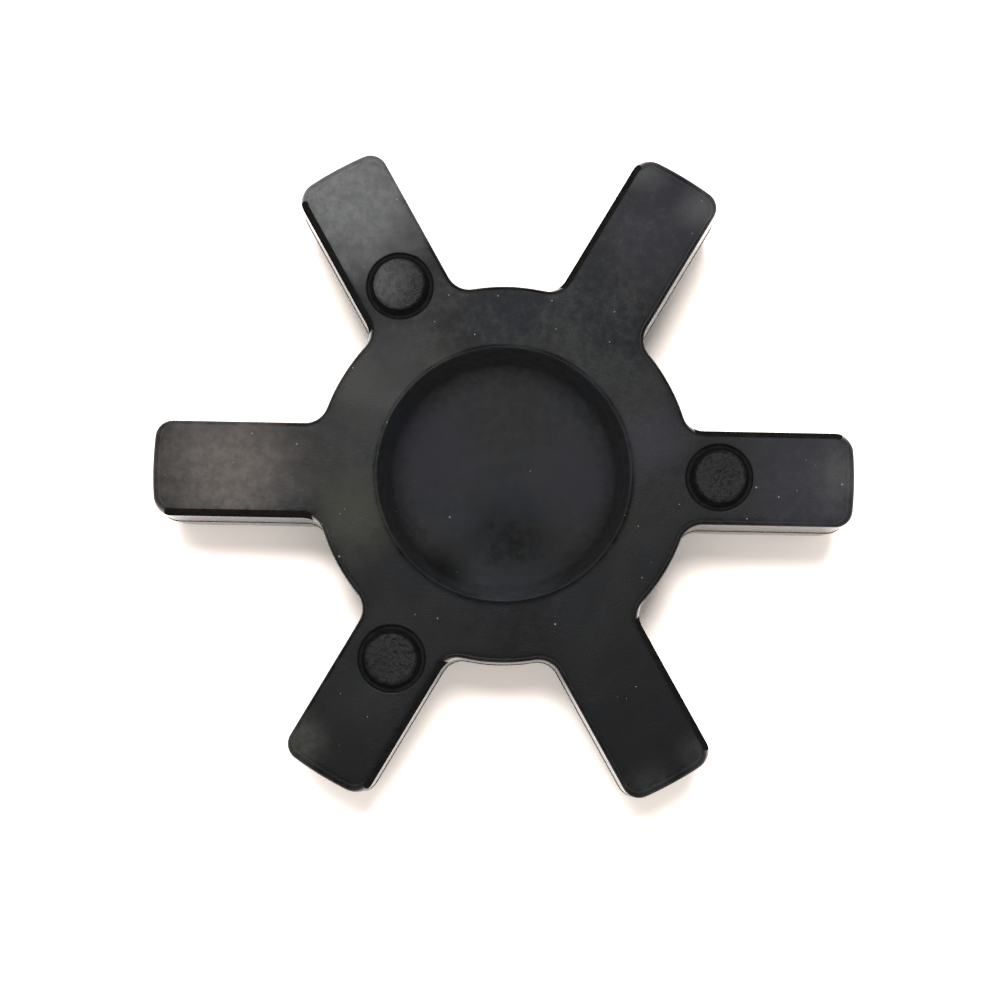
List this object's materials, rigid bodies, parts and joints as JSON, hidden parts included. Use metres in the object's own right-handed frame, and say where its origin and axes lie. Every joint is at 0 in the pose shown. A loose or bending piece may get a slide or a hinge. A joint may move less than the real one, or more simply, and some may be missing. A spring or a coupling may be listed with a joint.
{
  "type": "jaw coupling spider",
  "caption": "One-piece rubber spider for a jaw coupling: a solid round hub with straight legs, a round recess in each face and low round nubs that space it from the hubs.",
  "frame": {"origin": "centre of the spider: on its axis, half way between its two faces", "axes": "+Z along the coupling's axis, out of the face that the picture shows; +X along a leg whose nub is on that face, which is the leg that points right in the picture"},
  "size_m": [0.0826, 0.0754, 0.0222],
  "materials": {
    "rubber": "black moulded rubber, satin with a faint bloom"
  },
  "bodies": {
    "root": {"spider": "rubber"}
  },
  "joints": []
}
